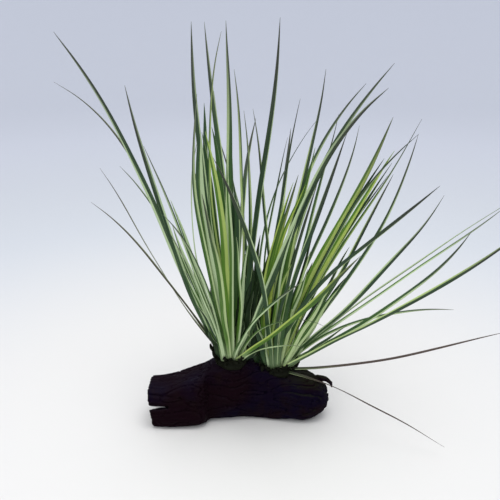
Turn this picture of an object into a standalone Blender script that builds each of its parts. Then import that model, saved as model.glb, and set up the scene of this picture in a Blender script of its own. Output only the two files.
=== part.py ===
"""Japanese rush (variegated sweet flag) growing from two crowns on a short piece of driftwood.

Metres, +Z up. X runs along the wood, the front of the plant faces -Y, and the origin is on the flat underside of
the wood, below the middle of its length. Each leaf is one solid, each crown is one solid, and so is the wood.
"""
import math

import bmesh
import bpy
from mathutils import Vector, noise

MM = 0.001
GAP = 0.0003

# The driftwood, in mm: where along its length, front edge, back edge, top, and how square the section is. Its
# sections reach WOOD_SUNK below the floor, where they are cut flat, and END_LEAN tips the sawn end's top outwards.
# A slab stands forward on the left and breaks off short. From ROUND_FROM on, the right end draws in above and below
# BULGE_HEIGHT, by ROUND_LOW at the floor and ROUND_HIGH as far above.
WOOD_STATIONS = (
    (-71.0, -21.5, 14.0, 33.5, 5.0),
    (-56.0, -22.0, 15.0, 35.0, 4.5),
    (-42.0, -21.8, 16.0, 37.5, 4.2),
    (-33.0, -22.0, 17.0, 41.0, 4.0),
    (-28.5, -21.5, 17.3, 44.0, 3.8),
    (-25.0, -15.0, 17.5, 47.5, 3.0),
    (-19.0, -14.0, 17.5, 50.8, 2.9),
    (-6.0, -13.5, 18.0, 52.0, 2.8),
    (10.0, -11.0, 18.0, 52.0, 2.8),
    (22.0, -11.5, 18.0, 47.5, 2.8),
    (36.0, -15.0, 18.0, 41.5, 2.8),
    (52.0, -16.5, 17.0, 40.5, 2.6),
    (64.0, -15.0, 14.0, 39.0, 2.5),
    (72.0, -11.5, 10.0, 35.0, 2.3),
    (76.5, -6.0, 5.0, 28.0, 2.2),
)
WOOD_RINGS = 42
WOOD_SIDES = 30
SAWN_END = WOOD_STATIONS[0][0]
WOOD_SUNK = 2.5
LUMP_HEIGHT = 2.6
LUMP_SIZE = 15.0
LUMP_SEED = 4.7
GROOVE_HEIGHT = 1.1
GROOVE_SIZE = 5.5
GROOVE_LENGTH = 34.0
END_LEAN = 3.5
ROUND_FROM = 44.0
BULGE_HEIGHT = 17.0
ROUND_LOW = 12.0
ROUND_HIGH = 5.0

# The split in the sawn end, in mm: how deep it runs, how wide it opens, how high it starts on the front, and the
# angle at which it slopes down towards the back. Its cutter reaches past the wood on the open sides.
SPLIT_DEPTH = 21.0
SPLIT_OPENING = 3.6
SPLIT_TIP = 0.4
SPLIT_HEIGHT = 19.8
SPLIT_SLOPE = math.radians(32)
SPLIT_OVERRUN = 10.0
SPLIT_WIDTH = 120.0

# The hooked spur at the right end: the middle of its path and its radius at each point, in mm.
SPUR_POINTS = ((58.0, 0.0, 33.5), (67.0, -4.0, 37.0), (73.5, -7.0, 38.0), (77.2, -8.5, 35.5), (78.0, -9.0, 31.5))
SPUR_RADII = (3.4, 2.8, 2.0, 1.4, 0.6)

# The crowns, in mm: the middle of each, and the half axes of its bun shape.
CROWN_LEFT = (-5.5, 0.0, 51.0)
CROWN_RIGHT = (33.5, 2.0, 41.5)
CROWN_HALF_AXES = (12.5, 10.5, 7.0)
CROWN_SEGMENTS = 16
CROWN_RINGS = 8

# Where leaves stand on a crown: rows one behind the other, from the front, with this spacing in mm. A leaf that
# leans further than LOW_LEAN degrees stands lower on the crown's side, by LOW_SHIFT mm to the right a degree.
MIDDLE_ROW = 2
ROW_SPACING = 3.2
FOOT_SPACING = 2.8
LOW_LEAN = 60.0
LOW_SHIFT = 0.13

# The leaves. Each row runs from left to right. A leaf is its side lean at foot, middle and tip (degrees, to the
# right), its back lean (degrees, away from the front), its length and width (mm) and its turn (degrees).
LEFT_ROWS = (
    (
        (-5, -16, -21, -15, 134, 2.6, -35),
        (-10, -12, -34, -17, 152, 2.6, 40),
        (-3, -4, -8, -25, 178, 4.5, 20),
        (10, 32, 46, -18, 105, 2.8, -50),
        (42, 38, 30, -23, 155, 5.0, 10),
        (38, 66, 92, -14, 58, 2.0, 35),
    ),
    (
        (-26, -15, -11, -6, 232, 4.4, 10),
        (-14, -16, -18, -10, 192, 2.4, 45),
        (-11, -8, 7, -6, 218, 4.0, -30),
        (-2, 0, 0, -4, 262, 5.0, 12),
        (29, 18, 44, -9, 248, 5.5, -12),
        (10, 48, 105, -21, 96, 2.2, 40),
    ),
    (
        (-31, -21, -35, 2, 282, 5.0, -10),
        (-9, -6, -1, 1, 262, 5.0, 20),
        (-6, -5, 13, 2, 256, 4.0, -45),
        (7, 8, 4, 2, 266, 4.6, 15),
    ),
    (
        (-41, -38, -54, 12, 168, 2.0, 50),
        (-37, -22, -58, 8, 262, 3.4, -48),
        (-12, -10, -11, 10, 158, 4.5, 30),
        (4, -6, -6, 10, 266, 5.0, -25),
        (7, 0, -6, 8, 230, 3.4, 40),
        (8, 2, -6, 6, 200, 3.4, -35),
    ),
    (
        (-50, -32, -35, 15, 188, 2.0, -45),
        (-33, -27, -48, 19, 184, 2.6, 40),
        (-32, -12, 12, 23, 188, 2.6, -50),
        (2, 5, 12, 33, 215, 5.0, 25),
        (22, -7, -20, 16, 196, 2.8, 50),
        (28, 25, 32, 20, 205, 5.0, -30),
    ),
)
RIGHT_ROWS = (
    (
        (-2, -11, -25, -14, 200, 4.2, -15),
        (-3, 9, 13, -15, 176, 3.5, 25),
        (-1, 12, 15, -14, 214, 3.8, -20),
        (51, 51, 40, -14, 230, 4.4, 15),
        (90, 107, 112, -24, 134, 2.0, 40),
    ),
    (
        (-16, 8, 16, -4, 170, 5.5, 20),
        (4, 37, 44, -11, 206, 4.6, 15),
        (22, 21, 43, -6, 222, 3.4, 40),
        (30, 24, 20, -9, 188, 3.2, -30),
        (55, 51, 29, -7, 188, 3.4, -35),
        (86, 72, 68, -10, 172, 2.0, -30),
    ),
    (
        (-6, 6, 10, 1, 220, 3.2, 35),
        (-8, 12, 6, -1, 242, 4.0, -30),
        (-3, 17, 39, 3, 262, 4.4, 15),
        (8, 24, 22, 0, 220, 5.5, -15),
        (44, 41, 28, -2, 190, 4.4, 20),
        (38, 69, 92, 0, 150, 2.4, -35),
    ),
    (
        (-14, 5, 14, 12, 190, 2.6, 50),
        (-2, -4, -9, 8, 210, 3.2, -40),
        (0, 13, 41, 10, 245, 3.6, -25),
        (17, 32, 28, 8, 230, 3.6, 40),
        (40, 33, 15, 10, 220, 3.2, -35),
        (46, 54, 57, 6, 248, 2.6, 45),
    ),
    (
        (-20, 10, 41, 20, 224, 2.4, 50),
        (-1, 6, 10, 31, 212, 5.0, -20),
        (6, 27, 14, 22, 217, 3.2, -40),
        (5, 15, 12, 13, 212, 3.4, 35),
        (24, 31, 40, 20, 185, 3.4, 25),
        (53, 60, 56, 15, 236, 2.4, -45),
    ),
)

# The blade, in mm and shares of its length: thick and narrow at the foot, full width from WIDE_FROM on, turned
# from TURN_FROM on, and tapering to the tip.
LEAF_STEPS = 13
FOOT_WIDTH = 2.3
FOOT_THICKNESS = 1.5
BLADE_THICKNESS = 1.0
TIP_WIDTH = 0.5
TIP_THICKNESS = 0.35
WIDE_FROM = 0.3
TAPER_POWER = 4.5
TURN_FROM = 0.3

BARK_COLOUR = (0.012, 0.009, 0.010, 1.0)
CROWN_COLOUR = (0.020, 0.022, 0.012, 1.0)
LEAF_COLOUR = (0.21, 0.34, 0.12, 1.0)


def clear_scene():
    for item in list(bpy.data.objects):
        bpy.data.objects.remove(item)


def new_collection(name):
    collection = bpy.data.collections.new(name)
    bpy.context.scene.collection.children.link(collection)
    return collection


def make_material(name, colour, roughness):
    material = bpy.data.materials.new(name)
    material.use_nodes = True
    shader = material.node_tree.nodes["Principled BSDF"]
    shader.inputs["Base Color"].default_value = colour
    shader.inputs["Roughness"].default_value = roughness
    shader.inputs["Metallic"].default_value = 0.0
    return material


def new_object(name, mesh, collection, material=None):
    item = bpy.data.objects.new(name, mesh)
    collection.objects.link(item)
    if material:
        mesh.materials.append(material)
    return item


def make_guide(item):
    """Marks an object as a cutter, which isn't part of the model."""
    item.hide_render = True
    item.display_type = "WIRE"


def smooth_step(value):
    value = min(max(value, 0.0), 1.0)
    return value * value * (3 - 2 * value)


def through_three(first, middle, last, t):
    """The value at t of the parabola through three values at 0, 0.5 and 1."""
    return first * (1 - t) * (1 - 2 * t) + middle * 4 * t * (1 - t) + last * t * (2 * t - 1)


def between_stations(x):
    """The wood's front, back, top and squareness at x, on a smooth curve through the stations."""
    last = len(WOOD_STATIONS) - 1
    right = next(i for i in range(1, last + 1) if x <= WOOD_STATIONS[i][0] or i == last)
    a = WOOD_STATIONS[max(right - 2, 0)]
    b = WOOD_STATIONS[right - 1]
    c = WOOD_STATIONS[right]
    d = WOOD_STATIONS[min(right + 1, last)]
    t = (x - b[0]) / (c[0] - b[0])
    values = []
    for k in range(1, 5):
        slope_b = (c[k] - a[k]) / (c[0] - a[0]) * (c[0] - b[0])
        slope_c = (d[k] - b[k]) / (d[0] - b[0]) * (c[0] - b[0])
        values.append(
            b[k] * (2 * t**3 - 3 * t**2 + 1)
            + slope_b * (t**3 - 2 * t**2 + t)
            + c[k] * (3 * t**2 - 2 * t**3)
            + slope_c * (t**3 - t**2)
        )
    return values


def wood_relief(x, y, z):
    """How far the bark stands out at a place: broad lumps, and grooves that run along the grain."""
    lump = noise.noise(Vector((x / (1.6 * LUMP_SIZE), y / LUMP_SIZE, z / LUMP_SIZE + LUMP_SEED)))
    groove = noise.noise(Vector((x / GROOVE_LENGTH, y / GROOVE_SIZE, z / GROOVE_SIZE)))
    return LUMP_HEIGHT * lump + GROOVE_HEIGHT * groove


def end_draw(x, z):
    """How far the rounded right end draws in at a place."""
    away = (z - BULGE_HEIGHT) / BULGE_HEIGHT
    most = ROUND_LOW if away < 0 else ROUND_HIGH
    return most * away * away * smooth_step((x - ROUND_FROM) / (WOOD_STATIONS[-1][0] - ROUND_FROM))


def wood_section(x):
    """One ring round the wood at x: a rounded rectangle with relief, flat where it would pass below the floor."""
    front, back, top, square = between_stations(x)
    middle_y = (front + back) / 2
    middle_z = (top - WOOD_SUNK) / 2
    half_y = (back - front) / 2
    half_z = (top + WOOD_SUNK) / 2
    ring = []
    for i in range(WOOD_SIDES):
        angle = 2 * math.pi * i / WOOD_SIDES
        c = math.cos(angle)
        s = math.sin(angle)
        y = middle_y + half_y * math.copysign(abs(c) ** (2 / square), c)
        z = middle_z + half_z * math.copysign(abs(s) ** (2 / square), s)
        relief = wood_relief(x, y, z)
        y += relief * c
        z = max(z + relief * s, 0.0)
        lean = END_LEAN * (z / top) * smooth_step(x / SAWN_END)
        ring.append(Vector((x - lean - end_draw(x, z), y, z)) * MM)
    return ring


def loft(rings):
    """A closed mesh through rings of equally many points, capped at both ends."""
    shell = bmesh.new()
    loops = [[shell.verts.new(point) for point in ring] for ring in rings]
    count = len(rings[0])
    for lower, upper in zip(loops, loops[1:]):
        for i in range(count):
            j = (i + 1) % count
            shell.faces.new((lower[i], lower[j], upper[j], upper[i]))
    shell.faces.new(loops[0])
    shell.faces.new(loops[-1])
    bmesh.ops.recalc_face_normals(shell, faces=shell.faces)
    return shell


def mesh_from(shell, name):
    mesh = bpy.data.meshes.new(name)
    shell.to_mesh(mesh)
    shell.free()
    return mesh


def add_boolean(item, cutter, operation):
    cut = item.modifiers.new(cutter.name, "BOOLEAN")
    cut.object = cutter
    cut.operation = operation
    cut.solver = "EXACT"


def make_split(guides):
    """The wedge-shaped split in the sawn end, sloping down towards the back."""
    bpy.ops.mesh.primitive_cube_add(size=1)
    wedge = bpy.context.object
    wedge.name = "split_cutter"
    widening = (SPLIT_OPENING - SPLIT_TIP) / SPLIT_DEPTH * SPLIT_OVERRUN
    for vertex in wedge.data.vertices:
        outer = vertex.co.x < 0
        x = -SPLIT_OVERRUN if outer else SPLIT_DEPTH
        opening = SPLIT_OPENING + widening if outer else SPLIT_TIP
        vertex.co = Vector((x, vertex.co.y * SPLIT_WIDTH, vertex.co.z * opening)) * MM
    wedge.rotation_euler.x = -SPLIT_SLOPE
    front = WOOD_STATIONS[0][1]
    wedge.location = Vector((SAWN_END, front, SPLIT_HEIGHT)) * MM
    for owner in list(wedge.users_collection):
        owner.objects.unlink(wedge)
    guides.objects.link(wedge)
    make_guide(wedge)
    return wedge


def make_spur(guides):
    """The hooked spur at the right end, a tapered tube that is joined to the wood."""
    curve = bpy.data.curves.new("spur", "CURVE")
    curve.dimensions = "3D"
    curve.bevel_depth = MM
    curve.bevel_resolution = 2
    curve.use_fill_caps = True
    line = curve.splines.new("POLY")
    line.points.add(len(SPUR_POINTS) - 1)
    for point, place, radius in zip(line.points, SPUR_POINTS, SPUR_RADII):
        point.co = (place[0] * MM, place[1] * MM, place[2] * MM, 1)
        point.radius = radius
    tube = bpy.data.objects.new("spur_curve", curve)
    guides.objects.link(tube)
    bpy.context.view_layer.update()
    evaluated = tube.evaluated_get(bpy.context.evaluated_depsgraph_get())
    mesh = bpy.data.meshes.new_from_object(evaluated)
    shell = bmesh.new()
    shell.from_mesh(mesh)
    bmesh.ops.remove_doubles(shell, verts=shell.verts, dist=0.00001)
    shell.to_mesh(mesh)
    shell.free()
    spur = new_object("spur_guide", mesh, guides)
    spur.matrix_world = tube.matrix_world
    bpy.data.objects.remove(tube)
    make_guide(spur)
    return spur


def crown_ellipsoid(name, middle, extra, collection, material=None):
    """A bun of the crown's size, grown by `extra` metres all round."""
    shell = bmesh.new()
    bmesh.ops.create_uvsphere(shell, u_segments=CROWN_SEGMENTS, v_segments=CROWN_RINGS, radius=1)
    for vertex in shell.verts:
        for axis in range(3):
            vertex.co[axis] *= CROWN_HALF_AXES[axis] * MM + extra
            vertex.co[axis] += middle[axis] * MM
    return new_object(name, mesh_from(shell, name), collection, material)


def make_driftwood(parts, guides, material):
    first = WOOD_STATIONS[0][0]
    last = WOOD_STATIONS[-1][0]
    rings = [wood_section(first + (last - first) * i / (WOOD_RINGS - 1)) for i in range(WOOD_RINGS)]
    wood = new_object("driftwood", mesh_from(loft(rings), "driftwood"), parts, material)
    add_boolean(wood, make_spur(guides), "UNION")
    add_boolean(wood, make_split(guides), "DIFFERENCE")
    for side, middle in (("left", CROWN_LEFT), ("right", CROWN_RIGHT)):
        pocket = crown_ellipsoid(f"pocket_{side}", middle, GAP, guides)
        make_guide(pocket)
        add_boolean(wood, pocket, "DIFFERENCE")
    return wood


def lean_frame(side, back):
    """The width, thickness and length directions of a leaf that leans by these angles."""
    width = Vector((math.cos(side), 0, -math.sin(side)))
    along = Vector((math.sin(side) * math.cos(back), math.sin(back), math.cos(side) * math.cos(back)))
    return width, along.cross(width), along


def foot_on_crown(point, along, middle):
    """Slides a point back along the leaf until it is a small gap above the crown."""
    axes = [half * MM + GAP for half in CROWN_HALF_AXES]
    start = [(point[k] - middle[k] * MM) / axes[k] for k in range(3)]
    way = [along[k] / axes[k] for k in range(3)]
    a = sum(w * w for w in way)
    b = sum(s * w for s, w in zip(start, way))
    c = sum(s * s for s in start) - 1
    root = b * b - a * c
    if root <= 0:
        return point
    return point + along * ((-b + math.sqrt(root)) / a)


def leaf_rings(leaf, middle, row, place, row_length):
    """The four-sided sections of one leaf, from its foot on the crown to its tip."""
    foot, centre, tip, back, length, width, turn = leaf
    x = (place - (row_length - 1) / 2) * FOOT_SPACING + max(foot - LOW_LEAN, 0.0) * LOW_SHIFT
    y = (row - MIDDLE_ROW) * ROW_SPACING
    rise = 1 - (x / CROWN_HALF_AXES[0]) ** 2 - (y / CROWN_HALF_AXES[1]) ** 2
    z = CROWN_HALF_AXES[2] * math.sqrt(max(rise, 0.0))
    point = (Vector(middle) + Vector((x, y, z))) * MM
    rings = []
    for step in range(LEAF_STEPS + 1):
        t = step / LEAF_STEPS
        side = math.radians(through_three(foot, centre, tip, t))
        across, through, along = lean_frame(side, math.radians(back))
        if step:
            point = point + along * (length * MM / LEAF_STEPS)
        spread = smooth_step(t / WIDE_FROM)
        taper = 1 - t**TAPER_POWER
        half_width = (FOOT_WIDTH + (width - FOOT_WIDTH) * spread) * taper / 2 + TIP_WIDTH / 2 * (1 - taper)
        thick = FOOT_THICKNESS + (BLADE_THICKNESS - FOOT_THICKNESS) * spread
        half_thick = thick * taper / 2 + TIP_THICKNESS / 2 * (1 - taper)
        angle = math.radians(turn) * smooth_step(t / TURN_FROM)
        wide = across * math.cos(angle) + through * math.sin(angle)
        thin = through * math.cos(angle) - across * math.sin(angle)
        ring = [point + wide * (half_width * MM), point + thin * (half_thick * MM),
                point - wide * (half_width * MM), point - thin * (half_thick * MM)]
        if step == 0:
            ring = [foot_on_crown(corner, along, middle) for corner in ring]
        rings.append(ring)
    return rings


def make_leaves(side, rows, middle, collection, material):
    number = 0
    for row, leaves in enumerate(rows):
        for place, leaf in enumerate(leaves):
            number += 1
            name = f"leaf_{side}_{number:02d}"
            rings = leaf_rings(leaf, middle, row, place, len(leaves))
            blade = new_object(name, mesh_from(loft(rings), name), collection, material)
            blade.data.shade_smooth()


def main():
    clear_scene()
    parts = new_collection("japanese_rush_on_driftwood")
    guides = new_collection("cutters")
    make_driftwood(parts, guides, make_material("wet_dark_wood", BARK_COLOUR, 0.55))
    for side, middle, rows in (("left", CROWN_LEFT, LEFT_ROWS), ("right", CROWN_RIGHT, RIGHT_ROWS)):
        crown_ellipsoid(f"crown_{side}", middle, 0.0, parts, make_material(f"crown_{side}", CROWN_COLOUR, 0.7))
        leaf_material = make_material(f"leaf_{side}", LEAF_COLOUR, 0.45)
        make_leaves(side, rows, middle, parts, leaf_material)


main()
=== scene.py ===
"""The looks of a Japanese rush (variegated sweet flag) growing from two crowns on a short piece of driftwood.

Metres, +Z up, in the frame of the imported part. X runs along the wood and the front of the plant faces -Y.
Sizes in tables and in names that end in _MM are millimetres, angles are degrees, and colours are linear. Each
solid leaf is replaced by a fine blade on the same line, the inner leaves of each clump are joined in one
piece, and the wood and the crowns get their real surface.
"""
import math
import random

import bmesh
import bpy
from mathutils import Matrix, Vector, noise


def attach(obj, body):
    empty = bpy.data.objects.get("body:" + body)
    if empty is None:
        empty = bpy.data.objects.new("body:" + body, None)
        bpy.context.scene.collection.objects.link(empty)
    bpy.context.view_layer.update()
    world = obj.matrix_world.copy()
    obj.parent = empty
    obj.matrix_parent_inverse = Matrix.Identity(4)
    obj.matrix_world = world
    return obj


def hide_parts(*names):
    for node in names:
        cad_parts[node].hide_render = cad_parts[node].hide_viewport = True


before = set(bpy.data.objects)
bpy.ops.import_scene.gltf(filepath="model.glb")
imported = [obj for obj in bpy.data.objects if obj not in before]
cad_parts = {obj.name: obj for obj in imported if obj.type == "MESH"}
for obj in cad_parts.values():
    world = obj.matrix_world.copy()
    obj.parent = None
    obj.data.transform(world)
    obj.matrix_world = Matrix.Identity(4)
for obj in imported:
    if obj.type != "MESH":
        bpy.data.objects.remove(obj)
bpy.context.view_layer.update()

MM = 0.001

# The crowns, as in the part: the middle of each, and the half axes of its bun shape, in mm.
CROWN_LEFT = (-5.5, 0.0, 51.0)
CROWN_RIGHT = (33.5, 2.0, 41.5)
CROWN_HALF_AXES = (12.5, 10.5, 7.0)

# Where leaves stand on a crown, as in the part: rows one behind the other, from the front, this far apart
# in mm. A leaf that leans further than LOW_LEAN stands lower on the crown's side, by LOW_SHIFT mm a degree.
MIDDLE_ROW = 2
ROW_SPACING = 3.2
FOOT_SPACING = 2.8
LOW_LEAN = 60.0
LOW_SHIFT = 0.13
LEAF_STEPS = 13

# The leaves, in the part's order. Each row runs from left to right. A leaf is its side lean at foot, middle
# and tip (to the right), its back lean (away from the front), its length and width in mm and its turn, as
# in the part. Then comes its look: how dark its green is, how much of its width is cream, and how yellow
# the cream is, each from 0 to 1. The darkness is partly the leaf's own tone and partly painted shade, for
# leaves that stand against the light or in the clump's shadow. A darkness above 1 is a leaf that has
# withered, and 1.5 one that is brown all over. A negative cream share is a band on the blade's other edge.
LEFT_ROWS = (
    (
        (-5, -16, -21, -15, 134, 2.6, -35, 0.55, 0.55, 0.1),
        (-10, -12, -34, -17, 152, 2.6, 40, 0.55, -0.50, 0.1),
        (-3, -4, -8, -25, 178, 4.5, 20, 0.35, 0.40, 0.4),
        (10, 32, 46, -18, 105, 2.8, -50, 0.60, 0.40, 0.1),
        (42, 38, 30, -23, 155, 5.0, 10, 0.30, -0.30, 0.9),
        (38, 66, 92, -14, 58, 2.0, 35, 0.20, 0.90, 0.2),
    ),
    (
        (-26, -15, -11, -6, 232, 4.4, 10, 0.78, 0.32, 0.1),
        (-14, -16, -18, -10, 192, 2.4, 45, 0.60, -0.50, 0.1),
        (-11, -8, 7, -6, 218, 4.0, -30, 0.45, 0.40, 0.3),
        (-2, 0, 0, -4, 262, 5.0, 12, 0.55, -0.45, 0.3),
        (29, 18, 44, -9, 248, 5.5, -12, 0.80, -0.35, 0.1),
        (10, 48, 105, -21, 96, 2.2, 40, 0.40, 0.60, 0.2),
    ),
    (
        (-31, -21, -35, 2, 282, 5.0, -10, 0.80, -0.34, 0.1),
        (-9, -6, -1, 1, 262, 5.0, 20, 0.72, 0.25, 0.1),
        (-6, -5, 13, 2, 256, 4.0, -45, 0.45, 0.45, 0.7),
        (7, 8, 4, 2, 266, 4.6, 15, 0.80, 0.12, 0.2),
    ),
    (
        (-41, -38, -54, 12, 168, 2.0, 50, 1.30, 0.40, 0.1),
        (-37, -22, -58, 8, 262, 3.4, -48, 1.25, 0.30, 0.1),
        (-12, -10, -11, 10, 158, 4.5, 30, 0.50, 0.40, 0.3),
        (4, -6, -6, 10, 266, 5.0, -25, 0.66, 0.20, 0.2),
        (7, 0, -6, 8, 230, 3.4, 40, 0.40, -0.50, 0.5),
        (8, 2, -6, 6, 200, 3.4, -35, 0.60, 0.35, 0.4),
    ),
    (
        (-50, -32, -35, 15, 188, 2.0, -45, 1.30, 0.40, 0.1),
        (-33, -27, -48, 19, 184, 2.6, 40, 0.45, 0.55, 0.1),
        (-32, -12, 12, 23, 188, 2.6, -50, 0.25, 0.80, 0.1),
        (2, 5, 12, 33, 215, 5.0, 25, 0.75, 0.25, 0.3),
        (22, -7, -20, 16, 196, 2.8, 50, 0.80, 0.20, 0.2),
        (28, 25, 32, 20, 205, 5.0, -30, 0.76, 0.15, 0.3),
    ),
)
RIGHT_ROWS = (
    (
        (-2, -11, -25, -14, 200, 4.2, -15, 0.78, 0.15, 0.2),
        (-3, 9, 13, -15, 176, 3.5, 25, 0.80, 0.10, 0.2),
        (-1, 12, 15, -14, 214, 3.8, -20, 0.76, -0.15, 0.2),
        (51, 51, 40, -14, 230, 4.4, 15, 0.76, -0.25, 0.5),
        (90, 107, 112, -24, 134, 2.0, 40, 1.60, 0.30, 0.3),
    ),
    (
        (-16, 8, 16, -4, 170, 5.5, 20, 0.15, 0.55, 0.9),
        (4, 37, 44, -11, 206, 4.6, 15, 0.78, 0.12, 0.2),
        (22, 21, 43, -6, 222, 3.4, 40, 0.60, 0.35, 0.4),
        (30, 24, 20, -9, 188, 3.2, -30, 0.80, -0.25, 0.5),
        (55, 51, 29, -7, 188, 3.4, -35, 0.60, 0.30, 0.2),
        (86, 72, 68, -10, 172, 2.0, -30, 1.50, 0.50, 0.3),
    ),
    (
        (-6, 6, 10, 1, 220, 3.2, 35, 0.75, 0.25, 0.3),
        (-8, 12, 6, -1, 242, 4.0, -30, 0.70, -0.30, 0.5),
        (-3, 17, 39, 3, 262, 4.4, 15, 0.60, 0.40, 0.3),
        (8, 24, 22, 0, 220, 5.5, -15, 0.15, 0.60, 0.8),
        (44, 41, 28, -2, 190, 4.4, 20, 0.72, -0.20, 0.2),
        (38, 69, 92, 0, 150, 2.4, -35, 0.60, 0.40, 0.2),
    ),
    (
        (-14, 5, 14, 12, 190, 2.6, 50, 0.60, 0.35, 0.2),
        (-2, -4, -9, 8, 210, 3.2, -40, 0.70, 0.30, 0.3),
        (0, 13, 41, 10, 245, 3.6, -25, 0.65, 0.30, 0.3),
        (17, 32, 28, 8, 230, 3.6, 40, 0.45, 0.50, 0.7),
        (40, 33, 15, 10, 220, 3.2, -35, 0.80, 0.20, 0.2),
        (46, 54, 57, 6, 248, 2.6, 45, 0.60, -0.40, 0.2),
    ),
    (
        (-20, 10, 41, 20, 224, 2.4, 50, 0.55, 0.40, 0.1),
        (-1, 6, 10, 31, 212, 5.0, -20, 0.80, 0.20, 0.3),
        (6, 27, 14, 22, 217, 3.2, -40, 0.80, 0.20, 0.2),
        (5, 15, 12, 13, 212, 3.4, 35, 0.60, 0.40, 0.3),
        (24, 31, 40, 20, 185, 3.4, 25, 0.75, 0.12, 0.4),
        (53, 60, 56, 15, 236, 2.4, -45, 0.45, 0.50, 0.1),
    ),
)

# The inner leaves of each clump, past the solid ones. First where each stands on its crown, to the right
# and to the back of its middle in mm, and then the same ten values as above. Those of darkness 1 are dark
# with painted shadow, for the clump's shaded inside. Their look runs over only this share of a whole leaf's
# length, so that they stay green to the tip.
INNER_REACH = 0.7
INNER_LEFT = (
    (-3.0, -3.0, -6, -7, 0, -5, 186, 6.5, -10, 0.30, 0.75, 0.1),
    (-2.0, -1.5, -6, -6, -3, -3, 150, 3.4, 50, 0.45, 0.50, 0.2),
    (0.5, -3.5, -1, -4, -9, -7, 192, 6.0, 15, 0.20, 0.50, 0.8),
    (1.5, -1.0, 1, -4, -9, -2, 190, 7.0, -5, 0.50, 0.00, 0.2),
    (1.0, -6.0, 0, 0, -2, -12, 182, 3.6, 10, 0.30, 0.45, 0.2),
    (2.5, -1.5, 2, 1, -3, -1, 150, 6.0, 20, 0.66, 0.10, 0.2),
    (3.5, -4.5, 9, 1, -6, -8, 112, 3.2, -20, 0.30, 0.45, 0.2),
    (4.5, -2.5, 3, 5, 8, -4, 104, 4.0, 5, 0.40, 0.60, 0.1),
    (5.5, 0.0, 9, 9, 6, 2, 84, 6.5, 15, 1.00, 0.00, 0.1),
    (7.0, 1.5, 16, 14, 9, 4, 74, 6.5, -15, 1.00, 0.05, 0.1),
    (4.5, 3.0, 7, 7, 5, 8, 92, 6.0, 30, 0.95, 0.00, 0.1),
    (8.0, 3.0, 22, 20, 14, 8, 68, 6.0, 20, 1.00, 0.00, 0.1),
    (6.5, 5.0, 13, 12, 8, 12, 88, 6.0, -10, 1.00, 0.00, 0.1),
    (9.0, 5.5, 27, 24, 18, 13, 60, 6.0, 10, 1.00, 0.00, 0.1),
    (-4.0, 1.0, -9, -8, -5, 4, 90, 5.0, 10, 0.95, 0.10, 0.1),
    (-7.0, 2.5, -22, -18, -14, 6, 42, 5.5, -10, 0.98, 0.05, 0.1),
    (-4.0, 3.5, -11, -8, -2, 9, 184, 7.0, -15, 0.70, 0.10, 0.1),
    (-2.5, 4.5, -8, -6, -3, 12, 206, 7.0, 20, 0.72, 0.15, 0.2),
    (0.0, 4.5, -3, -3, -6, 10, 214, 7.0, -10, 0.74, 0.10, 0.2),
    (1.0, 6.5, 0, -1, -4, 14, 200, 7.0, 15, 0.70, 0.05, 0.2),
    (3.0, 5.0, 1, 0, -4, 11, 140, 6.0, 10, 0.80, 0.10, 0.2),
    (-1.0, 1.5, -5, -6, -8, 3, 184, 5.5, 25, 0.60, 0.10, 0.4),
    (-5.0, 6.0, -10, -8, -5, 14, 150, 6.0, 10, 0.85, 0.05, 0.2),
    (-5.5, -4.5, -21, -19, -19, -9, 90, 3.0, 20, 0.40, 0.60, 0.1),
    (-4.5, -2.5, -22, -18, -17, -4, 124, 3.6, -15, 0.35, 0.60, 0.1),
    (-3.5, 0.5, -22, -17, -18, 3, 138, 3.6, 10, 0.35, 0.60, 0.1),
    (-4.5, 3.5, -24, -19, -21, 8, 116, 3.2, 30, 0.35, 0.70, 0.1),
    (-5.0, -6.0, -15, -19, -24, -14, 62, 3.0, -20, 0.85, 0.20, 0.1),
    (9.0, 2.0, 26, 20, 12, 4, 78, 5.5, 10, 1.00, 0.00, 0.1),
    (10.0, 0.0, 30, 26, 20, 0, 60, 5.5, -20, 1.00, 0.00, 0.1),
    (8.0, 3.0, 20, 15, 8, 8, 92, 5.5, 15, 1.00, 0.00, 0.1),
    (9.5, 4.0, 34, 30, 24, 6, 50, 5.5, -10, 1.00, 0.00, 0.1),
    (10.5, 1.0, 45, 40, 34, 2, 32, 5.5, 20, 1.00, 0.00, 0.1),
    (11.0, -2.0, 50, 46, 40, -4, 24, 5.0, 10, 1.00, 0.00, 0.1),
    (7.5, 5.0, 14, 10, 4, 12, 102, 5.5, -15, 0.95, 0.05, 0.1),
    (-8.0, -3.0, -24, -22, -20, -6, 40, 5.0, 20, 1.00, 0.00, 0.1),
    (-7.0, -5.5, -22, -20, -18, -12, 32, 5.0, -20, 1.00, 0.00, 0.1),
    (-8.0, 1.0, -24, -22, -20, 0, 32, 5.0, 10, 1.00, 0.00, 0.1),
)
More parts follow.
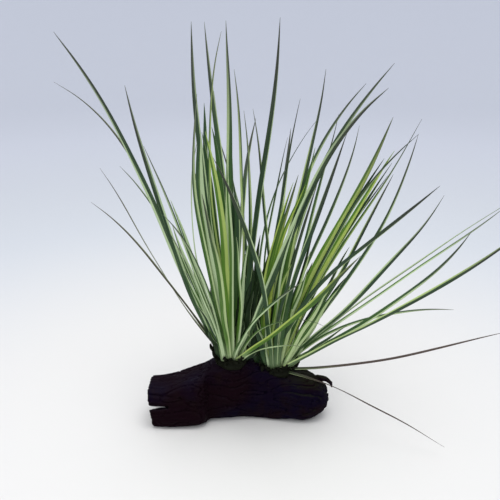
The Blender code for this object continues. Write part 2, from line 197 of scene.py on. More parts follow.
INNER_RIGHT = (
    (-6.0, -3.0, -14, 8, 20, -7, 166, 4.5, 10, 0.10, 0.60, 1.0),
    (-7.0, -1.0, -16, 6, 18, -3, 162, 4.0, -15, 0.55, -0.45, 0.9),
    (-1.5, -1.5, 0, 8, 12, -2, 186, 5.0, 10, 0.40, 0.30, 0.6),
    (-1.0, -6.0, -6, 3, 14, -15, 150, 2.6, 40, 0.20, 0.90, 0.1),
    (-4.0, -4.5, -10, 6, 20, -12, 108, 4.0, 20, 0.20, 0.60, 0.7),
    (-5.5, 1.5, -16, 4, 20, 3, 98, 6.5, 10, 1.00, 0.00, 0.1),
    (-8.0, 0.5, -15, -5, 0, 2, 80, 6.5, -10, 1.00, 0.00, 0.1),
    (-9.0, 3.0, -22, -12, -6, 6, 66, 6.5, 15, 1.00, 0.00, 0.1),
    (-9.5, -1.5, -20, -12, -8, -4, 52, 5.5, 15, 1.00, 0.00, 0.1),
    (-8.0, 5.5, -16, -9, -4, 12, 92, 6.5, 10, 1.00, 0.05, 0.1),
    (-7.5, -5.0, -12, -2, 4, -10, 62, 2.2, 40, 0.15, 1.00, 0.1),
    (1.5, -4.5, 8, 10, 13, -9, 112, 3.6, 10, 0.20, 0.80, 0.4),
    (1.5, 2.0, 9, 13, 15, 3, 120, 4.0, 25, 0.95, 0.05, 0.1),
    (2.5, -3.0, 13, 23, 30, -4, 200, 4.4, -10, 0.15, 0.55, 0.9),
    (3.0, -0.5, 11, 23, 28, -1, 190, 4.0, 15, 0.95, 0.00, 0.4),
    (4.5, 1.5, 14, 26, 32, 3, 188, 3.6, 10, 0.90, 0.20, 0.6),
    (4.0, -5.5, 18, 22, 26, -13, 86, 4.5, 10, 0.25, 0.75, 0.3),
    (5.5, -4.0, 22, 27, 30, -10, 90, 4.5, -15, 0.45, 0.50, 0.3),
    (0.5, -4.0, 8, 12, 16, -9, 96, 4.5, 20, 0.35, 0.60, 0.2),
    (-2.5, -3.0, 2, 8, 15, -8, 84, 4.5, -20, 0.30, 0.65, 0.3),
    (-4.5, -1.0, -6, 2, 12, -3, 62, 5.5, 10, 1.00, 0.00, 0.1),
    (6.5, -1.5, 24, 30, 34, -4, 84, 5.0, 15, 0.85, 0.15, 0.2),
    (7.5, 1.0, 28, 31, 33, 2, 90, 4.5, -10, 0.90, 0.10, 0.2),
    (6.0, 4.0, 25, 29, 29, 9, 112, 4.0, 20, 0.85, 0.20, 0.3),
    (0.0, 5.5, 4, 8, 10, 13, 110, 5.5, 10, 0.95, 0.05, 0.2),
    (3.0, 6.5, 14, 18, 18, 16, 88, 5.5, -20, 0.92, 0.10, 0.2),
    (8.5, -3.5, 44, 46, 46, -9, 64, 3.2, 20, 0.75, 0.25, 0.3),
    (-10.0, 0.0, -30, -24, -16, 0, 60, 5.5, 15, 1.00, 0.00, 0.1),
    (-9.0, 2.0, -20, -14, -6, 4, 88, 5.5, -15, 1.00, 0.00, 0.1),
    (-11.0, -1.0, -46, -40, -34, -2, 26, 5.0, 10, 1.00, 0.00, 0.1),
    (-10.5, 3.0, -36, -30, -24, 5, 44, 5.5, -20, 1.00, 0.00, 0.1),
)

# Short dark leaves that crowd the foot of each clump: how many there are, and the limits of their lean from
# the left end to the right end, darkness, cream, yellowness, length, width and turn. Their darkness is mostly
# painted shadow, for the gaps at the foot of the clump. They stand within these shares of the crown, and
# lean less towards the tip.
CROWD_COUNT = 44
CROWD_LEAN = {"left": (-16.0, 18.0), "right": (-16.0, 32.0)}
CROWD_SHADE = {"left": (0.85, 1.0), "right": (0.50, 1.0)}
CROWD_CREAM = {"left": (0.0, 0.2), "right": (0.0, 0.5)}
CROWD_YELLOW = (0.0, 0.4)
CROWD_LENGTH = (24.0, 62.0)
CROWD_WIDTH = (3.4, 5.6)
CROWD_TURN = (-40.0, 40.0)
CROWD_DEPTH = (-0.5, 1.0)
CROWD_SPREAD = (1.5, 0.7)
CROWD_BACK_LEAN = 16.0
CROWD_LATER_LEAN = (0.85, 0.7)
LEAF_SEED = 11

# The blade, and how many steps it has from foot to tip. WIDE_FROM and TURN_FROM are the shares of the length
# where a blade has its full width and its full turn, and WANDER_SHARE is how far it strays, in widths.
STATIONS = 52
SHORT_STATIONS = 24
SHORT_BELOW_MM = 70.0
ROOT_DEPTH_MM = 3.0
FOOT_WIDTH_MM = 3.3
FOOT_WIDER_MM = 0.6
FOOT_THICKNESS_MM = 1.5
BLADE_THICKNESS_MM = 0.95
THICKNESS_SHARE = 0.28
TIP_WIDTH_MM = 0.22
TIP_THICKNESS_MM = 0.18
WIDE_FROM = 0.3
TAPER_POWER = 4.5
TURN_FROM = 0.3
WANDER_SHARE = 0.14
TWIST_JITTER = 14.0
CAMBER = 0.10
CAMBER_LEVEL = 0.4

# How many half waves a blade's twist, wander to the side, sway and camber go through from foot to tip.
TWIST_WAVES = 2.3
WANDER_WAVES = 3.1
SWAY_WAVES = 4.3
CAMBER_WAVES = 1.7

# The blade's section, from one edge to the other: place across, from -1 to 1, and half thickness there,
# from 0 to 1. The parallel veins stand a little proud of the hollows between them.
SECTION = (
    (-1.0, 0.0), (-0.9, 0.36), (-0.7, 0.70), (-0.5, 0.80), (-0.3, 0.96), (-0.13, 0.88),
    (0.0, 1.08), (0.13, 0.88), (0.3, 0.96), (0.5, 0.80), (0.7, 0.70), (0.9, 0.36), (1.0, 0.0),
)

# The crown's bun and its lumps, and the old leaf bases round it: how many there are, their least and greatest
# length and width in mm, the rings they stand on, as shares of the bun, and how they lean, stray and turn.
BUN_SEGMENTS = (48, 28)
BUN_LUMP = 0.05
BUN_LUMP_SCALE = 3.0
BUN_RIDGE = 0.03
BUN_RIDGES = 26.0
BUN_BLADE = (0.0, 0.3, 0.5)
STUB_COUNT = 34
STUB_LENGTH = (4.0, 18.0)
STUB_WIDTH = (2.6, 4.4)
STUB_RINGS = (0.80, 0.92, 1.0)
STUB_INSET = 0.98
STUB_SIDE_LEAN = 42.0
STUB_BACK_LEAN = 34.0
STUB_LATER_LEAN = (0.7, 0.5)
STUB_STRAY = (-8.0, 8.0)
STUB_TURN = (-40.0, 40.0)
OLD_LOOK = (1.0, 0.3, 0.3)
CROWN_SEED = 5

# The wood's surface. Each noise has two lengths in mm, along the wood and across it, and a depth. A shift
# takes it to another place in the noise. Cracks and pits are where the noise passes a limit.
WOOD_VOXEL_MM = 0.8
WOOD_SOFTEN = 0.5
WOOD_SOFTEN_TIMES = 3
BEND_MM = 2.5
BEND_LENGTHS = (22.0, 22.0)
GRAIN_MM = 0.55
GRAIN_LENGTHS = (26.0, 3.2)
FINE_GRAIN_MM = 0.22
FINE_GRAIN_LENGTHS = (9.0, 1.3)
CRACK_MM = 1.5
CRACK_LENGTHS = (30.0, 7.0)
CRACK_SHIFT = 7.0
CRACK_WIDTH = 0.07
PIT_MM = 0.9
PIT_LENGTHS = (3.5, 3.0)
PIT_SHIFT = 31.0
PIT_FROM = 0.38
PIT_SOFTNESS = 0.2
FLAT_BELOW_MM = 2.5

# The leaf's colours, and the stops of its greens from light to deep. The darker stops are partly painted
# shade, and the deepest green is painted shadow for leaves deep in the clump.
LIGHT_GREEN = (0.11, 0.24, 0.020, 1)
MID_GREEN = (0.038, 0.108, 0.014, 1)
DARK_GREEN = (0.021, 0.050, 0.028, 1)
SHADOW_GREEN = (0.004, 0.014, 0.005, 1)
GREEN_STOPS = ((0.45, MID_GREEN), (0.80, DARK_GREEN))
PALE_CREAM = (0.48, 0.60, 0.36, 1)
YELLOW_CREAM = (0.40, 0.52, 0.08, 1)
FOOT_CREAM = (0.42, 0.52, 0.28, 1)
TIP_GREY = (0.052, 0.050, 0.043, 1)
WITHERED = (0.080, 0.058, 0.047, 1)

# Kinds of noise: how much detail it has, and how rough that detail is.
SMOOTH = (1.0, 0.5)
EVEN = (2.0, 0.5)
ROUGH = (3.0, 0.6)
FIBROUS = (4.0, 0.65)

# The leaf's noises: how often each repeats across a blade, along it, and from one blade to the next.
STREAK_SCALES = (4.0, 3.5, 60.0)
BROAD_SCALES = (0.8, 5.0, 93.0)
FINE_SCALES = (13.0, 6.0, 71.0)

# How far the streaks and the broad noise move the edge of the cream band, and how soft that edge is.
STREAK_EDGE = 0.9
BROAD_EDGE = 0.7
EDGE_SOFTNESS = 0.14

# How much darker the green gets along the blade and with the broad noise, and how light it is at the foot.
# The darkening along the blade is painted shade, for upper blades that stand against the light; the broad
# noise is the leaf's own patchy tone.
PAINTED_SHADE_ALONG = 0.30
DARKER_PATCH = 0.30
LIGHTER_FOOT = -0.26

# Fades: where each starts, where it is full, and how strong it is then.
CREAM_LINES = (0.54, 0.66, 0.55)
LIGHT_LINES = (0.40, 0.70, 0.22)
TIP_FADE = (0.58, 1.0, 0.8)
FOOT_FADE = (0.0, 0.16, 0.55)
# Painted shade: from this darkness on, a leaf's foot loses its cream, as in the clump's shadow.
FOOT_SHADED_LEAVES = (0.45, 1.0)
WITHERED_LEAVES = (1.0, 1.5)
WITHERED_ALONG = (-0.1, 0.3)

# Finishes: roughness, as a share of a noise and what is added to it, specular level, and the bump's height
# in metres and its strength.
LEAF_ROUGHNESS = (0.25, 0.38)
LEAF_SPECULAR = 0.22
LEAF_BUMP = (0.0002, 0.5)
CROWN_ROUGHNESS = (0.3, 0.5)
CROWN_SPECULAR = 0.08
CROWN_BUMP = (0.0003, 0.6)
WOOD_ROUGHNESS = (0.35, 0.45)
WOOD_SPECULAR = 0.03
WOOD_BUMP = (0.0006, 0.7)
FLOOR_ROUGHNESS = 0.7

# The crown's colours and its fibres. Its near black is partly the old leaf bases' own colour and partly
# painted shade under the clump.
CROWN_DARK_AND_SHADED = (0.0022, 0.0022, 0.0014, 1)
CROWN_GREEN = (0.009, 0.011, 0.004, 1)
CROWN_BROWN = (0.012, 0.009, 0.005, 1)
FIBRE_SCALES = (9.0, 4.0, 50.0)
BROWN_FIBRES = (0.55, 0.70, 0.4)

# The wood's colours, and its noises' scales a metre, the grain's along the wood and across it.
WOOD_PLUM = (0.0052, 0.0008, 0.0026, 1)
WOOD_VIOLET = (0.0026, 0.0009, 0.0085, 1)
WOOD_DARK_BROWN = (0.0040, 0.0012, 0.0020, 1)
WOOD_BROWN = (0.012, 0.0050, 0.0046, 1)
WOOD_WORN = (0.010, 0.0055, 0.0085, 1)
# Painted light: the lighter colour of faces that point up.
WOOD_LIT_TOP = (0.012, 0.0080, 0.0145, 1)
WOOD_GREEN_TINT = (0.013, 0.016, 0.006, 1)
SAWN_DARK = (0.018, 0.014, 0.011, 1)
SAWN_PALE = (0.07, 0.056, 0.042, 1)
PATCH_SCALE = 45.0
TINT_SCALE = 22.0
GRAIN_SCALES = (60.0, 700.0, 700.0)

# The wood's fades, as above. The sawn end and the green tint are kept to their place along X, in metres.
VIOLET_FADE = (0.4, 0.6)
BROWN_FADE = (0.48, 0.72, 0.8)
WORN_FADE = (0.50, 0.58, 0.6)
LIT_TOP_FADE = (0.45, 0.95, 0.55)
GREEN_TINT_FROM_X = (0.030, 0.055)
GREEN_TINT_FACING_UP = (0.3, 0.8, 0.5)
SAWN_FACING_LEFT = (0.5, 0.85, 0.8)
SAWN_LEFT_OF_X = (0.063, 0.067)

# The floor, in metres: the radius where it starts to curve up, that curve's radius, how far round it goes
# and in how many steps, and the floor's height, a hair below the wood. Its colours fade outwards.
FLOOR_FLAT = 2.2
FLOOR_CURVE = 1.6
FLOOR_RISE = 75.0
FLOOR_STEPS = 16
FLOOR_SIDES = 96
FLOOR_HEIGHT = -0.0004
FLOOR_NEAR = (0.74, 0.73, 0.71, 1)
FLOOR_MIDDLE = (0.65, 0.68, 0.72, 1)
FLOOR_FAR = (0.74, 0.77, 0.85, 1)
FLOOR_NEAR_FADE = (0.15, 0.60)
FLOOR_FAR_FADE = (0.50, 1.50)

# The light from all round, and the lamps: name, place, size and power. Both lamps aim at one point.
WORLD_COLOUR = (0.93, 0.95, 1.0, 1)
WORLD_STRENGTH = 0.80
LAMPS = (
    ("overhead", (0.05, -0.10, 1.1), 0.7, 7.0),
    ("front", (-0.7, -1.2, 0.9), 0.9, 3.6),
)
LAMP_AIM = (0.02, 0.0, 0.10)

# The camera: sensor and lens in mm, place in metres, and how far it looks down.
SENSOR_WIDTH = 36.0
LENS = 44.7
CAMERA_PLACE = (0.0098, -0.458, 0.316)
CAMERA_DOWN = 19.9


def smooth_step(value):
    value = min(max(value, 0.0), 1.0)
    return value * value * (3 - 2 * value)


def through_three(first, middle, last, t):
    """The value at t of the parabola through three values at 0, 0.5 and 1."""
    return first * (1 - t) * (1 - 2 * t) + middle * 4 * t * (1 - t) + last * t * (2 * t - 1)


def between(rng, limits):
    return rng.uniform(limits[0], limits[1])


def link_object(name, data):
    item = bpy.data.objects.new(name, data)
    bpy.context.scene.collection.objects.link(item)
    return item


class Shell:
    """Vertices, faces and each vertex's blade and look values, gathered for one mesh.

    The blade value is the place across, the place along and the blade's own number. The look is its darkness,
    cream share and yellowness.
    """

    def __init__(self):
        self.points = []
        self.faces = []
        self.blade = []
        self.look = []

    def add(self, points, faces, blade, look):
        first = len(self.points)
        self.points += points
        self.faces += [tuple(first + i for i in face) for face in faces]
        self.blade += blade
        self.look += [look] * len(points)

    def to_object(self, name, material):
        mesh = bpy.data.meshes.new(name)
        mesh.from_pydata(self.points, [], self.faces)
        for key, values in (("blade", self.blade), ("look", self.look)):
            layer = mesh.attributes.new(key, "FLOAT_VECTOR", "POINT")
            layer.data.foreach_set("vector", [number for value in values for number in value])
        mesh.shade_smooth()
        mesh.materials.append(material)
        return link_object(name, mesh)


def lean_frame(side, back):
    """The width, thickness and length directions of a leaf that leans by these angles."""
    width = Vector((math.cos(side), 0, -math.sin(side)))
    along = Vector((math.sin(side) * math.cos(back), math.sin(back), math.cos(side) * math.cos(back)))
    return width, along.cross(width), along


def crown_place(row, place, row_length, foot_lean):
    """Where on the crown, seen from above, a leaf stands."""
    x = (place - (row_length - 1) / 2) * FOOT_SPACING + max(foot_lean - LOW_LEAN, 0.0) * LOW_SHIFT
    return x, (row - MIDDLE_ROW) * ROW_SPACING


def spine_points(leaf, middle, spot):
    """The leaf's middle line in mm, one point a step, exactly as the solid leaf has it."""
    foot, centre, tip, back, length = leaf[:5]
    x, y = spot
    rise = 1 - (x / CROWN_HALF_AXES[0]) ** 2 - (y / CROWN_HALF_AXES[1]) ** 2
    point = Vector(middle) + Vector((x, y, CROWN_HALF_AXES[2] * math.sqrt(max(rise, 0.0))))
    points = [point]
    for step in range(1, LEAF_STEPS + 1):
        side = math.radians(through_three(foot, centre, tip, step / LEAF_STEPS))
        point = point + lean_frame(side, math.radians(back))[2] * (length / LEAF_STEPS)
        points.append(point)
    return points


def on_curve(points, t):
    """The place at share t of a smooth curve through evenly spaced points."""
    last = len(points) - 1
    i = min(int(t * last), last - 1)
    s = t * last - i
    b, c = points[i], points[i + 1]
    a = points[i - 1] if i else b * 2 - c
    d = points[i + 2] if i + 2 <= last else c * 2 - b
    return (
        b
        + (c - a) * (0.5 * s)
        + (a * 2 - b * 5 + c * 4 - d) * (0.5 * s * s)
        + (b * 3 - a - c * 3 + d) * (0.5 * s**3)
    )


def wave(waves, t, phase):
    return math.sin(waves * math.pi * t + phase)


def blade_size(t, width, foot_width):
    """The blade's half width and half thickness in mm at share t of its length."""
    spread = smooth_step(t / WIDE_FROM)
    taper = 1 - t**TAPER_POWER
    foot_wide = min(foot_width, width + FOOT_WIDER_MM)
    half_width = (foot_wide + (width - foot_wide) * spread) * taper / 2 + TIP_WIDTH_MM / 2 * (1 - taper)
    blade_thick = min(BLADE_THICKNESS_MM, THICKNESS_SHARE * width)
    thick = FOOT_THICKNESS_MM + (blade_thick - FOOT_THICKNESS_MM) * spread
    return half_width, thick * taper / 2 + TIP_THICKNESS_MM / 2 * (1 - taper)


def section_ring(middle, wide, thin, camber):
    """The points round the blade at one place, over its face and back along its other face."""
    ring = []
    for facing, line in ((1, SECTION), (-1, SECTION[-2:0:-1])):
        for u, h in line:
            ring.append(middle + wide * u + thin * (facing * h) + camber * (u * u - CAMBER_LEVEL))
    return ring


def add_blade(shell, rng, leaf, points, foot_width=FOOT_WIDTH_MM, reach=1.0):
    """Adds one closed blade to the shell, along the points in mm, with its veins, wander and twist."""
    foot, centre, tip, back, length, width, turn, shade, cream, yellow = leaf
    twist_phase, wander_phase, sway_phase, camber_phase = [rng.random() * 2 * math.pi for _ in range(4)]
    seed = rng.random()
    pale_edge = math.copysign(1.0, cream)
    across_ring = [u * pale_edge for u, _ in SECTION + SECTION[-2:0:-1]]
    count = len(across_ring)
    stations = STATIONS if length > SHORT_BELOW_MM else SHORT_STATIONS
    places = []
    blade = []
    for station in range(stations + 1):
        t = station / stations
        side = math.radians(through_three(foot, centre, tip, t))
        across, through, along = lean_frame(side, math.radians(back))
        point = on_curve(points, t)
        if station == 0:
            point = point - along * ROOT_DEPTH_MM
        half_width, half_thick = blade_size(t, width, foot_width)
        loose = smooth_step(t / WIDE_FROM)
        angle = math.radians(turn) * smooth_step(t / TURN_FROM)
        angle += math.radians(TWIST_JITTER) * loose * wave(TWIST_WAVES, t, twist_phase)
        wide = across * math.cos(angle) + through * math.sin(angle)
        thin = through * math.cos(angle) - across * math.sin(angle)
        stray = WANDER_SHARE * width * loose
        middle = point + wide * (stray * wave(WANDER_WAVES, t, wander_phase))
        middle += thin * (stray * wave(SWAY_WAVES, t, sway_phase))
        camber = CAMBER * half_width * loose * wave(CAMBER_WAVES, t, camber_phase)
        ring = section_ring(middle, wide * half_width, thin * half_thick, thin * camber)
        places += [tuple(place * MM) for place in ring]
        blade += [(u, t * reach, seed) for u in across_ring]
    faces = [tuple(range(count))]
    for lower in range(0, stations * count, count):
        upper = lower + count
        for i in range(count):
            j = (i + 1) % count
            faces.append((lower + i, upper + i, upper + j, lower + j))
    faces.append(tuple(reversed(range(stations * count, (stations + 1) * count))))
    shell.add(places, faces, blade, (shade, abs(cream), yellow))


def crowd_leaf(rng, side):
    """A short leaf, dark with painted shadow, and its place on the crown, leaning the way of the side it
    stands on.
    """
    share = rng.random()
    depth = between(rng, CROWD_DEPTH)
    least, most = CROWD_LEAN[side]
    lean = least + (most - least) * share
    x = (share - 0.5) * CROWD_SPREAD[0] * CROWN_HALF_AXES[0]
    y = depth * CROWD_SPREAD[1] * CROWN_HALF_AXES[1]
    leans = (lean, lean * CROWD_LATER_LEAN[0], lean * CROWD_LATER_LEAN[1], depth * CROWD_BACK_LEAN)
    sizes = (between(rng, CROWD_LENGTH), between(rng, CROWD_WIDTH), between(rng, CROWD_TURN))
    look = (between(rng, CROWD_SHADE[side]), between(rng, CROWD_CREAM[side]), between(rng, CROWD_YELLOW))
    return leans + sizes + look, (x, y)


def old_leaf_base(rng, number):
    """A short stub of an old leaf and its place on the crown. Those to the sides are the longest."""
    angle = 2 * math.pi * (number + rng.random()) / STUB_COUNT
    ring = rng.choice(STUB_RINGS)
    x = CROWN_HALF_AXES[0] * ring * math.cos(angle)
    y = CROWN_HALF_AXES[1] * ring * math.sin(angle)
    side_lean = STUB_SIDE_LEAN * math.cos(angle) * ring + between(rng, STUB_STRAY)
    back_lean = STUB_BACK_LEAN * math.sin(angle) * ring + between(rng, STUB_STRAY)
    shortest, longest = STUB_LENGTH
    length = shortest + (longest - shortest) * abs(math.cos(angle)) * rng.random()
    leans = (side_lean, side_lean * STUB_LATER_LEAN[0], side_lean * STUB_LATER_LEAN[1], back_lean)
    leaf = leans + (length, between(rng, STUB_WIDTH), between(rng, STUB_TURN)) + OLD_LOOK
    return leaf, (x * STUB_INSET, y * STUB_INSET)


def put(tree, kind, inputs=None, **settings):
    """Adds a node. Each input is a socket to link from, or a plain value."""
    made = tree.nodes.new(kind)
    for key, value in settings.items():
        setattr(made, key, value)
    for key, value in (inputs or {}).items():
        if isinstance(value, bpy.types.NodeSocket):
            tree.links.new(value, made.inputs[key])
        else:
            made.inputs[key].default_value = value
    return made


def new_material(name):
    material = bpy.data.materials.new(name)
    material.use_nodes = True
    tree = material.node_tree
    return material, tree, tree.nodes["Principled BSDF"]


def calc(tree, operation, a, b=0.0, c=0.0):
    return put(tree, "ShaderNodeMath", {0: a, 1: b, 2: c}, operation=operation).outputs[0]


def rise_between(tree, value, low, high, top=1.0):
    """0 below `low`, `top` above `high`, and smooth between."""
    limits = {"Value": value, "From Min": low, "From Max": high, "To Min": 0.0, "To Max": top}
    return put(tree, "ShaderNodeMapRange", limits, interpolation_type="SMOOTHSTEP").outputs["Result"]


def blend_colours(tree, factor, a, b):
    """Colour a where the factor is 0 and b where it is 1."""
    return put(tree, "ShaderNodeMix", {0: factor, 6: a, 7: b}, data_type="RGBA").outputs[2]


def noise_at(tree, place, kind, scale=1.0):
    inputs = {"Vector": place, "Scale": scale, "Detail": kind[0], "Roughness": kind[1]}
    return put(tree, "ShaderNodeTexNoise", inputs).outputs["Fac"]


def stretched(tree, place, scales):
    return put(tree, "ShaderNodeMapping", {"Vector": place, "Scale": scales}, vector_type="POINT").outputs[0]


def split(tree, vector):
    return put(tree, "ShaderNodeSeparateXYZ", {0: vector}).outputs


def attribute(tree, name):
    return put(tree, "ShaderNodeAttribute", attribute_name=name).outputs["Vector"]


def finish_surface(tree, shader, colour, rough_noise, roughness, specular, bump_noise, bump):
    """Joins a colour, a roughness that follows a noise, and a bump to the shader."""
    tree.links.new(colour, shader.inputs["Base Color"])
    tree.links.new(calc(tree, "MULTIPLY_ADD", rough_noise, *roughness), shader.inputs["Roughness"])
    shader.inputs["Specular IOR Level"].default_value = specular
    distance, strength = bump
    made = put(tree, "ShaderNodeBump", {"Height": bump_noise, "Distance": distance, "Strength": strength})
    tree.links.new(made.outputs["Normal"], shader.inputs["Normal"])


def leaf_green(tree, along, shade, broad, fine):
    """The green of a blade: darker towards the tip with painted shade, in patches, with fine lighter lines.
    """
    patches = calc(tree, "MULTIPLY_ADD", broad, DARKER_PATCH, LIGHTER_FOOT)
    # Painted shade: the green darkens along the blade towards the tip.
    darker = calc(tree, "MULTIPLY_ADD", along, PAINTED_SHADE_ALONG, patches)
    ramp = put(tree, "ShaderNodeValToRGB", {"Fac": calc(tree, "ADD", shade, darker)})
    stops = ramp.color_ramp.elements
    stops[0].color = LIGHT_GREEN
    # The deepest stop is painted shadow.
    stops[1].color = SHADOW_GREEN
    for position, colour in GREEN_STOPS:
        stops.new(position).color = colour
    return blend_colours(tree, rise_between(tree, fine, *LIGHT_LINES), ramp.outputs["Color"], LIGHT_GREEN)


def leaf_material():
    """Lengthwise cream and green bands from each blade's own values, streaked along the blade."""
    material, tree, shader = new_material("variegated_leaf")
    blade = attribute(tree, "blade")
    across, along, _ = split(tree, blade)
    shade, cream, yellow = split(tree, attribute(tree, "look"))
    streak = noise_at(tree, stretched(tree, blade, STREAK_SCALES), ROUGH)
    broad = noise_at(tree, stretched(tree, blade, BROAD_SCALES), SMOOTH)
    fine = noise_at(tree, stretched(tree, blade, FINE_SCALES), EVEN)

    edge = calc(tree, "MULTIPLY_ADD", broad, BROAD_EDGE, -(STREAK_EDGE + BROAD_EDGE) / 2 - 1)
    edge = calc(tree, "MULTIPLY_ADD", streak, STREAK_EDGE, edge)
    edge = calc(tree, "ADD", calc(tree, "MULTIPLY_ADD", cream, 2.0, across), edge)
    band = rise_between(tree, edge, -EDGE_SOFTNESS, EDGE_SOFTNESS)
    lines = calc(tree, "MULTIPLY", rise_between(tree, fine, *CREAM_LINES), cream)
    creamy = blend_colours(tree, yellow, PALE_CREAM, YELLOW_CREAM)
    green = leaf_green(tree, along, shade, broad, fine)
    colour = blend_colours(tree, calc(tree, "MAXIMUM", band, lines), green, creamy)

    colour = blend_colours(tree, rise_between(tree, along, *TIP_FADE), colour, TIP_GREY)
    withered = rise_between(tree, shade, *WITHERED_LEAVES)
    withered = calc(tree, "MULTIPLY", withered, rise_between(tree, along, *WITHERED_ALONG))
    colour = blend_colours(tree, withered, colour, WITHERED)
    # Painted shade: dark leaves get no cream foot.
    unshaded_foot = calc(tree, "SUBTRACT", 1.0, rise_between(tree, shade, *FOOT_SHADED_LEAVES))
    at_foot = calc(tree, "SUBTRACT", FOOT_FADE[2], rise_between(tree, along, *FOOT_FADE))
    colour = blend_colours(tree, calc(tree, "MULTIPLY", at_foot, unshaded_foot), colour, FOOT_CREAM)
    finish_surface(tree, shader, colour, streak, LEAF_ROUGHNESS, LEAF_SPECULAR, fine, LEAF_BUMP)
    return material


def crown_material():
    """Old leaf bases: nearly black, partly their own colour and partly painted shade, with a green cast, and
    brown where they are fibrous.
    """
    material, tree, shader = new_material("old_crown")
    fibre = noise_at(tree, stretched(tree, attribute(tree, "blade"), FIBRE_SCALES), FIBROUS)
    # The near black is partly painted shade under the clump.
    colour = blend_colours(tree, fibre, CROWN_DARK_AND_SHADED, CROWN_GREEN)
    colour = blend_colours(tree, rise_between(tree, fibre, *BROWN_FIBRES), colour, CROWN_BROWN)
    finish_surface(tree, shader, colour, fibre, CROWN_ROUGHNESS, CROWN_SPECULAR, fibre, CROWN_BUMP)
    return material


def wood_material():
    """Waterlogged wood: plum, violet and brown, all nearly black, with worn edges, painted light on top, a
    green tint and a sawn end.
    """
    material, tree, shader = new_material("wet_dark_wood")
    place = put(tree, "ShaderNodeTexCoord").outputs["Object"]
    geometry = put(tree, "ShaderNodeNewGeometry").outputs
    normal = split(tree, geometry["Normal"])
    right = split(tree, place)[0]
    left = calc(tree, "MULTIPLY", right, -1.0)
    facing_left = calc(tree, "MULTIPLY", normal[0], -1.0)
    patch = noise_at(tree, place, ROUGH, PATCH_SCALE)
    tint = noise_at(tree, place, SMOOTH, TINT_SCALE)
    grain = noise_at(tree, stretched(tree, place, GRAIN_SCALES), FIBROUS)

    colour = blend_colours(tree, rise_between(tree, tint, *VIOLET_FADE), WOOD_PLUM, WOOD_VIOLET)
    brown = blend_colours(tree, grain, WOOD_DARK_BROWN, WOOD_BROWN)
    colour = blend_colours(tree, rise_between(tree, patch, *BROWN_FADE), colour, brown)
    worn = rise_between(tree, geometry["Pointiness"], *WORN_FADE)
    colour = blend_colours(tree, worn, colour, WOOD_WORN)
    # Painted light: faces that point up are lighter, where the overhead light falls.
    top = calc(tree, "MULTIPLY", rise_between(tree, normal[2], *LIT_TOP_FADE), grain)
    colour = blend_colours(tree, top, colour, WOOD_LIT_TOP)
    # A green tint on faces that point up, towards the right end.
    green_tint = rise_between(tree, normal[2], *GREEN_TINT_FACING_UP)
    green_tint = calc(tree, "MULTIPLY", rise_between(tree, right, *GREEN_TINT_FROM_X), green_tint)
    colour = blend_colours(tree, green_tint, colour, WOOD_GREEN_TINT)
    sawn = rise_between(tree, facing_left, *SAWN_FACING_LEFT)
    sawn = calc(tree, "MULTIPLY", sawn, rise_between(tree, left, *SAWN_LEFT_OF_X))
    colour = blend_colours(tree, sawn, colour, blend_colours(tree, grain, SAWN_DARK, SAWN_PALE))
    finish_surface(tree, shader, colour, patch, WOOD_ROUGHNESS, WOOD_SPECULAR, grain, WOOD_BUMP)
    return material


def floor_material():
    """Plain and pale: near white round the object, and a faint cool tint far from it."""
    material, tree, shader = new_material("pale_floor")
    place = put(tree, "ShaderNodeTexCoord").outputs["Object"]
    away = put(tree, "ShaderNodeVectorMath", {0: place}, operation="LENGTH").outputs["Value"]
    colour = blend_colours(tree, rise_between(tree, away, *FLOOR_NEAR_FADE), FLOOR_NEAR, FLOOR_MIDDLE)
    colour = blend_colours(tree, rise_between(tree, away, *FLOOR_FAR_FADE), colour, FLOOR_FAR)
    tree.links.new(colour, shader.inputs["Base Color"])
    shader.inputs["Roughness"].default_value = FLOOR_ROUGHNESS
    return material


def make_leaves(side, rows, inner, middle, material):
    """The fine blades in place of one crown's solid leaves, and its joined inner leaves."""
    rng = random.Random(LEAF_SEED + len(side))
    number = 0
    for row, leaves in enumerate(rows):
        for place, leaf in enumerate(leaves):
            number += 1
            shell = Shell()
            spot = crown_place(row, place, len(leaves), leaf[0])
            add_blade(shell, rng, leaf, spine_points(leaf, middle, spot))
            item = shell.to_object(f"blade_{side}_{number:02d}", material)
            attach(item, "root")
            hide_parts(f"leaf_{side}_{number:02d}")
    shell = Shell()
    for x, y, *leaf in inner:
        add_blade(shell, rng, leaf, spine_points(leaf, middle, (x, y)), reach=INNER_REACH)
    for _ in range(CROWD_COUNT):
        leaf, spot = crowd_leaf(rng, side)
        add_blade(shell, rng, leaf, spine_points(leaf, middle, spot), reach=INNER_REACH)
    item = shell.to_object(f"inner_leaves_{side}", material)
    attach(item, "root")


def make_crown(side, middle, material):
    """A knobbly rootstock with old leaf bases standing round it."""
    rng = random.Random(CROWN_SEED + len(side))
    bun = bmesh.new()
    bmesh.ops.create_uvsphere(bun, u_segments=BUN_SEGMENTS[0], v_segments=BUN_SEGMENTS[1], radius=1)
    for vertex in bun.verts:
        lump = BUN_LUMP * noise.noise(vertex.co * BUN_LUMP_SCALE)
        bulge = 1 + lump + BUN_RIDGE * math.sin(vertex.co.z * BUN_RIDGES)
        for axis in range(3):
            vertex.co[axis] = (middle[axis] + vertex.co[axis] * CROWN_HALF_AXES[axis] * bulge) * MM
    places = [tuple(vertex.co) for vertex in bun.verts]
    faces = [tuple(vertex.index for vertex in face.verts) for face in bun.faces]
    bun.free()
    shell = Shell()
    shell.add(places, faces, [BUN_BLADE] * len(places), OLD_LOOK)
    for number in range(STUB_COUNT):
        leaf, spot = old_leaf_base(rng, number)
        add_blade(shell, rng, leaf, spine_points(leaf, middle, spot), foot_width=STUB_WIDTH[1])
    item = shell.to_object(f"rootstock_{side}", material)
    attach(item, "root")
    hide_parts(f"crown_{side}")


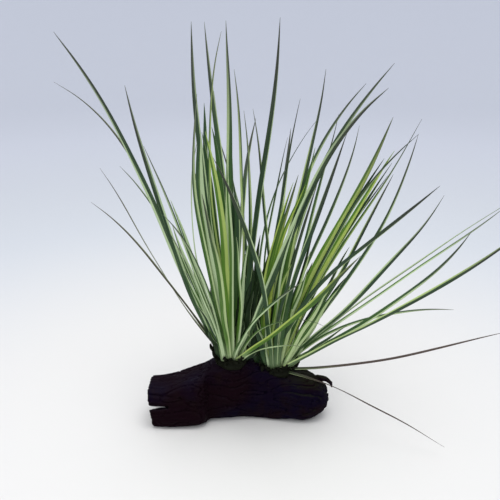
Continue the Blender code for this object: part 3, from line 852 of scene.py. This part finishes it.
def along_grain(x, y, z, lengths, shift=0.0):
    """Noise at a place in mm, stretched to one length along the wood and another across it."""
    along, across = lengths
    return noise.noise(Vector((x / along + shift, y / across, z / across)))


def wood_height(place):
    """How far the wood's skin stands out at a place in mm: grain ridges, cracks along the grain, and pits."""
    x, y, z = place
    bend = BEND_MM * along_grain(x, y, z, BEND_LENGTHS)
    ridge = 1 - 2 * abs(along_grain(x, y + bend, z + bend, GRAIN_LENGTHS))
    fine = along_grain(x, y, z, FINE_GRAIN_LENGTHS)
    crack = abs(along_grain(x, y + bend, z + bend, CRACK_LENGTHS, CRACK_SHIFT))
    crack = 1 - smooth_step(crack / CRACK_WIDTH)
    pit = smooth_step((along_grain(x, y, z, PIT_LENGTHS, PIT_SHIFT) - PIT_FROM) / PIT_SOFTNESS)
    return GRAIN_MM * ridge + FINE_GRAIN_MM * fine - CRACK_MM * crack - PIT_MM * pit


def make_wood(material):
    """The wood's own solid, made finer and given its grain, cracks and pits, with its underside kept flat."""
    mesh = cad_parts["driftwood"].data.copy()
    mesh.materials.clear()
    mesh.materials.append(material)
    item = link_object("weathered_wood", mesh)
    fine = item.modifiers.new("fine", "REMESH")
    fine.mode = "VOXEL"
    fine.voxel_size = WOOD_VOXEL_MM * MM
    soft = item.modifiers.new("soft", "SMOOTH")
    soft.factor = WOOD_SOFTEN
    soft.iterations = WOOD_SOFTEN_TIMES
    bpy.context.view_layer.update()
    evaluated = item.evaluated_get(bpy.context.evaluated_depsgraph_get())
    made = bpy.data.meshes.new_from_object(evaluated)
    item.modifiers.clear()
    item.data = made
    made.name = "weathered_wood"
    normals = [vertex.normal.copy() for vertex in made.vertices]
    for vertex, normal in zip(made.vertices, normals):
        place = vertex.co / MM
        flat = smooth_step(place.z / FLAT_BELOW_MM)
        moved = vertex.co + normal * (wood_height(place) * flat * MM)
        moved.z = max(moved.z, 0.0)
        vertex.co = moved
    made.shade_smooth()
    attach(item, "root")
    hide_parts("driftwood")


def make_floor(material):
    """A flat floor whose far rim curves up, so that no horizon shows."""
    rings = [(FLOOR_FLAT, 0.0)]
    for step in range(1, FLOOR_STEPS + 1):
        angle = math.radians(FLOOR_RISE) * step / FLOOR_STEPS
        rings.append((FLOOR_FLAT + FLOOR_CURVE * math.sin(angle), FLOOR_CURVE * (1 - math.cos(angle))))
    points = [(0.0, 0.0, FLOOR_HEIGHT)]
    for radius, height in rings:
        for i in range(FLOOR_SIDES):
            angle = 2 * math.pi * i / FLOOR_SIDES
            points.append((radius * math.cos(angle), radius * math.sin(angle), height + FLOOR_HEIGHT))
    faces = [(0, 1 + i, 1 + (i + 1) % FLOOR_SIDES) for i in range(FLOOR_SIDES)]
    for ring in range(FLOOR_STEPS):
        inner = 1 + ring * FLOOR_SIDES
        outer = inner + FLOOR_SIDES
        for i in range(FLOOR_SIDES):
            j = (i + 1) % FLOOR_SIDES
            faces.append((inner + i, outer + i, outer + j, inner + j))
    mesh = bpy.data.meshes.new("pale_floor")
    mesh.from_pydata(points, [], faces)
    mesh.shade_smooth()
    mesh.materials.append(material)
    link_object("pale_floor", mesh)


def make_light():
    world = bpy.data.worlds.new("studio")
    bpy.context.scene.world = world
    world.use_nodes = True
    background = world.node_tree.nodes["Background"]
    background.inputs["Color"].default_value = WORLD_COLOUR
    background.inputs["Strength"].default_value = WORLD_STRENGTH
    for name, place, size, power in LAMPS:
        lamp = bpy.data.lights.new(name, "AREA")
        lamp.size = size
        lamp.energy = power
        item = link_object(name, lamp)
        item.location = place
        item.rotation_euler = (Vector(LAMP_AIM) - Vector(place)).to_track_quat("-Z", "Y").to_euler()


def make_camera():
    camera = bpy.data.cameras.new("camera")
    camera.sensor_width = SENSOR_WIDTH
    camera.lens = LENS
    item = link_object("camera", camera)
    item.location = CAMERA_PLACE
    item.rotation_euler = (math.radians(90 - CAMERA_DOWN), 0, 0)
    bpy.context.scene.camera = item


def main():
    bpy.context.scene.view_settings.view_transform = "Standard"
    make_camera()
    make_light()
    make_floor(floor_material())
    make_wood(wood_material())
    crowns = crown_material()
    make_crown("left", CROWN_LEFT, crowns)
    make_crown("right", CROWN_RIGHT, crowns)
    leaves = leaf_material()
    make_leaves("left", LEFT_ROWS, INNER_LEFT, CROWN_LEFT, leaves)
    make_leaves("right", RIGHT_ROWS, INNER_RIGHT, CROWN_RIGHT, leaves)


main()
